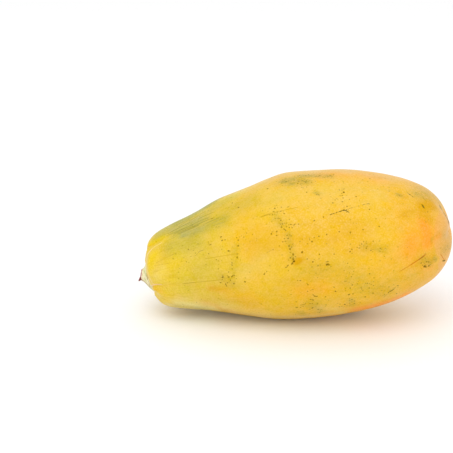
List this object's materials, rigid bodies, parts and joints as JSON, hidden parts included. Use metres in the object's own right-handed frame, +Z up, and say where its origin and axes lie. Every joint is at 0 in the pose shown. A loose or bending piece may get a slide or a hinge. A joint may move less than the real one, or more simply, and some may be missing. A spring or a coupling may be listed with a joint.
{
  "type": "papaya",
  "caption": "Whole ripe papaya lying on its side, a long pear-shaped fruit with soft lobes, the short stub of its stem and the dried skin over the cut.",
  "frame": {"origin": "on the surface that the fruit lies on, under the middle of the whole object's box", "axes": "+X along the fruit from its stem end to its blossom end, +Z up, so the side facing -Y is the front"},
  "size_m": [0.2682, 0.1258, 0.1275],
  "materials": {
    "ripe_skin": "smooth waxy fruit skin, satin",
    "pale_stalk": "fleshy stalk, matte",
    "dried_stalk": "dried and shrivelled, matte"
  },
  "bodies": {
    "root": {"fruit": "ripe_skin", "stem": "pale_stalk", "dried_tip": "dried_stalk"}
  },
  "joints": []
}
